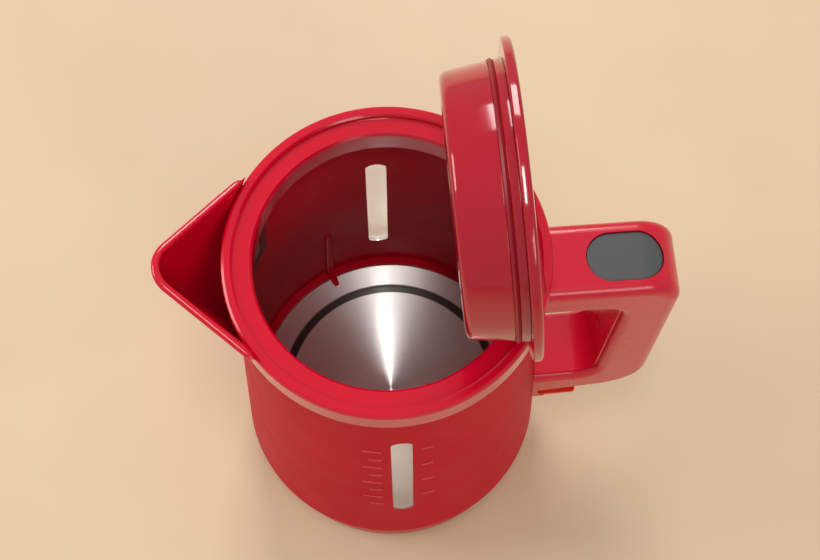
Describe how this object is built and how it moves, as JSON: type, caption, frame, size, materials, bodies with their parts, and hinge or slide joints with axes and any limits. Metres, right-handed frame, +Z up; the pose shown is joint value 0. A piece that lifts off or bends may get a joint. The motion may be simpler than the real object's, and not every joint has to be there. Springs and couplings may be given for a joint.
{
  "type": "electric kettle",
  "caption": "Round plastic jug kettle with a beak spout, loop handle, sprung hinged lid, water windows, steel floor and a round cordless power base.",
  "frame": {"origin": "centre of the power base, on the plane its rubber foot ring stands on", "axes": "+Z up, +X from the spout to the handle, +Y to the side with the cord outlet"},
  "size_m": [0.2074, 0.1349, 0.3266],
  "materials": {
    "base_red": "moulded, satin gloss",
    "body_red": "moulded, satin gloss outside, glossy inside",
    "collar_red": "moulded, glossy",
    "lid_red": "moulded, high gloss",
    "handle_red": "moulded, satin gloss",
    "switch_red": "moulded, glossy, brighter red",
    "button_grey": "soft-touch, fine grain",
    "clear_window": "clear moulding",
    "brushed_steel": "brushed in circles",
    "aluminium": "machined",
    "element_metal": "drawn tube, matt",
    "bimetal": "rolled strip",
    "brass": "turned",
    "screw_steel": "zinc plated",
    "rubber": "moulded, matt",
    "silicone": "moulded, translucent pale grey",
    "seal_red": "moulded silicone, dark red",
    "black_plastic": "moulded, fine grain",
    "pale_plastic": "glass-filled moulding",
    "wire_cover": "extruded cover",
    "filter_plastic": "moulded",
    "filter_mesh": "woven"
  },
  "bodies": {
    "power_base": {"base_cover": "base_red", "base_plate": "black_plastic", "foot_ring": "rubber", "base_screws": "screw_steel", "base_connector": "black_plastic", "base_contacts": "brass", "terminal_block": "pale_plastic", "terminal_screws": "brass", "base_wires": "wire_cover", "cord_gland": "rubber"},
    "connector": {"connector_socket": "black_plastic", "socket_contacts": "brass"},
    "jug": {"jug_body": "body_red", "window_near": "clear_window", "window_far": "clear_window", "collar_ring": "collar_red", "hinge_pin": "screw_steel", "heater_plate": "brushed_steel", "plate_seal": "silicone", "clamp_ring": "pale_plastic", "heat_spreader": "aluminium", "heating_element": "element_metal", "element_pins": "brass", "control_housing": "pale_plastic", "cutout_discs": "bimetal", "bottom_cover": "black_plastic", "bottom_screws": "screw_steel", "handle_shell": "handle_red", "handle_cover": "handle_red", "handle_screws": "screw_steel", "latch_spring": "screw_steel", "steam_tube": "silicone", "switch_block": "pale_plastic", "steam_bimetal": "bimetal", "switch_wires": "wire_cover", "switch_pin": "screw_steel"},
    "filter": {"filter_frame": "filter_plastic", "filter_mesh": "filter_mesh"},
    "lid": {"lid_cover": "lid_red", "lid_plug": "lid_red", "lid_seal": "seal_red", "lid_spring": "screw_steel"},
    "button": {"release_button": "button_grey"},
    "latch": {"latch_slider": "pale_plastic"},
    "switch": {"switch_lever": "switch_red"}
  },
  "joints": [
    {"name": "jug_lift", "type": "slide", "parent": "power_base", "child": "connector", "axis": [0, 0, 1], "range_m": [0, 0.06]},
    {"name": "jug_turn", "type": "hinge", "parent": "connector", "child": "jug", "pos_m": [0, 0, 0.0173], "axis": [0, 0, 1], "continuous": true},
    {"name": "lid_hinge", "type": "hinge", "parent": "jug", "child": "lid", "pos_m": [0.051, 0, 0.2163], "axis": [0, 1, 0], "range_deg": [-87, 0], "stiffness_Nm_per_rad": 0.06, "springref_deg": 68.75},
    {"name": "button_press", "type": "slide", "parent": "jug", "child": "button", "axis": [0, 0, -1], "range_m": [0, 0.0025], "stiffness_N_per_m": 500, "springref_m": -0.002},
    {"name": "latch_slide", "type": "slide", "parent": "jug", "child": "latch", "axis": [1, 0, 0], "range_m": [0, 0.0025], "deforming": ["latch_spring"]},
    {"name": "switch_rock", "type": "hinge", "parent": "jug", "child": "switch", "pos_m": [0.0687, 0, 0.0578], "axis": [0, 1, 0], "range_deg": [0, 8]},
    {"name": "filter_pull", "type": "slide", "parent": "jug", "child": "filter", "axis": [1, 0, 0], "range_m": [0, 0.02]}
  ],
  "couplings": [
    {"joint": "latch_slide", "follows": "button_press", "ratio": 1}
  ]
}
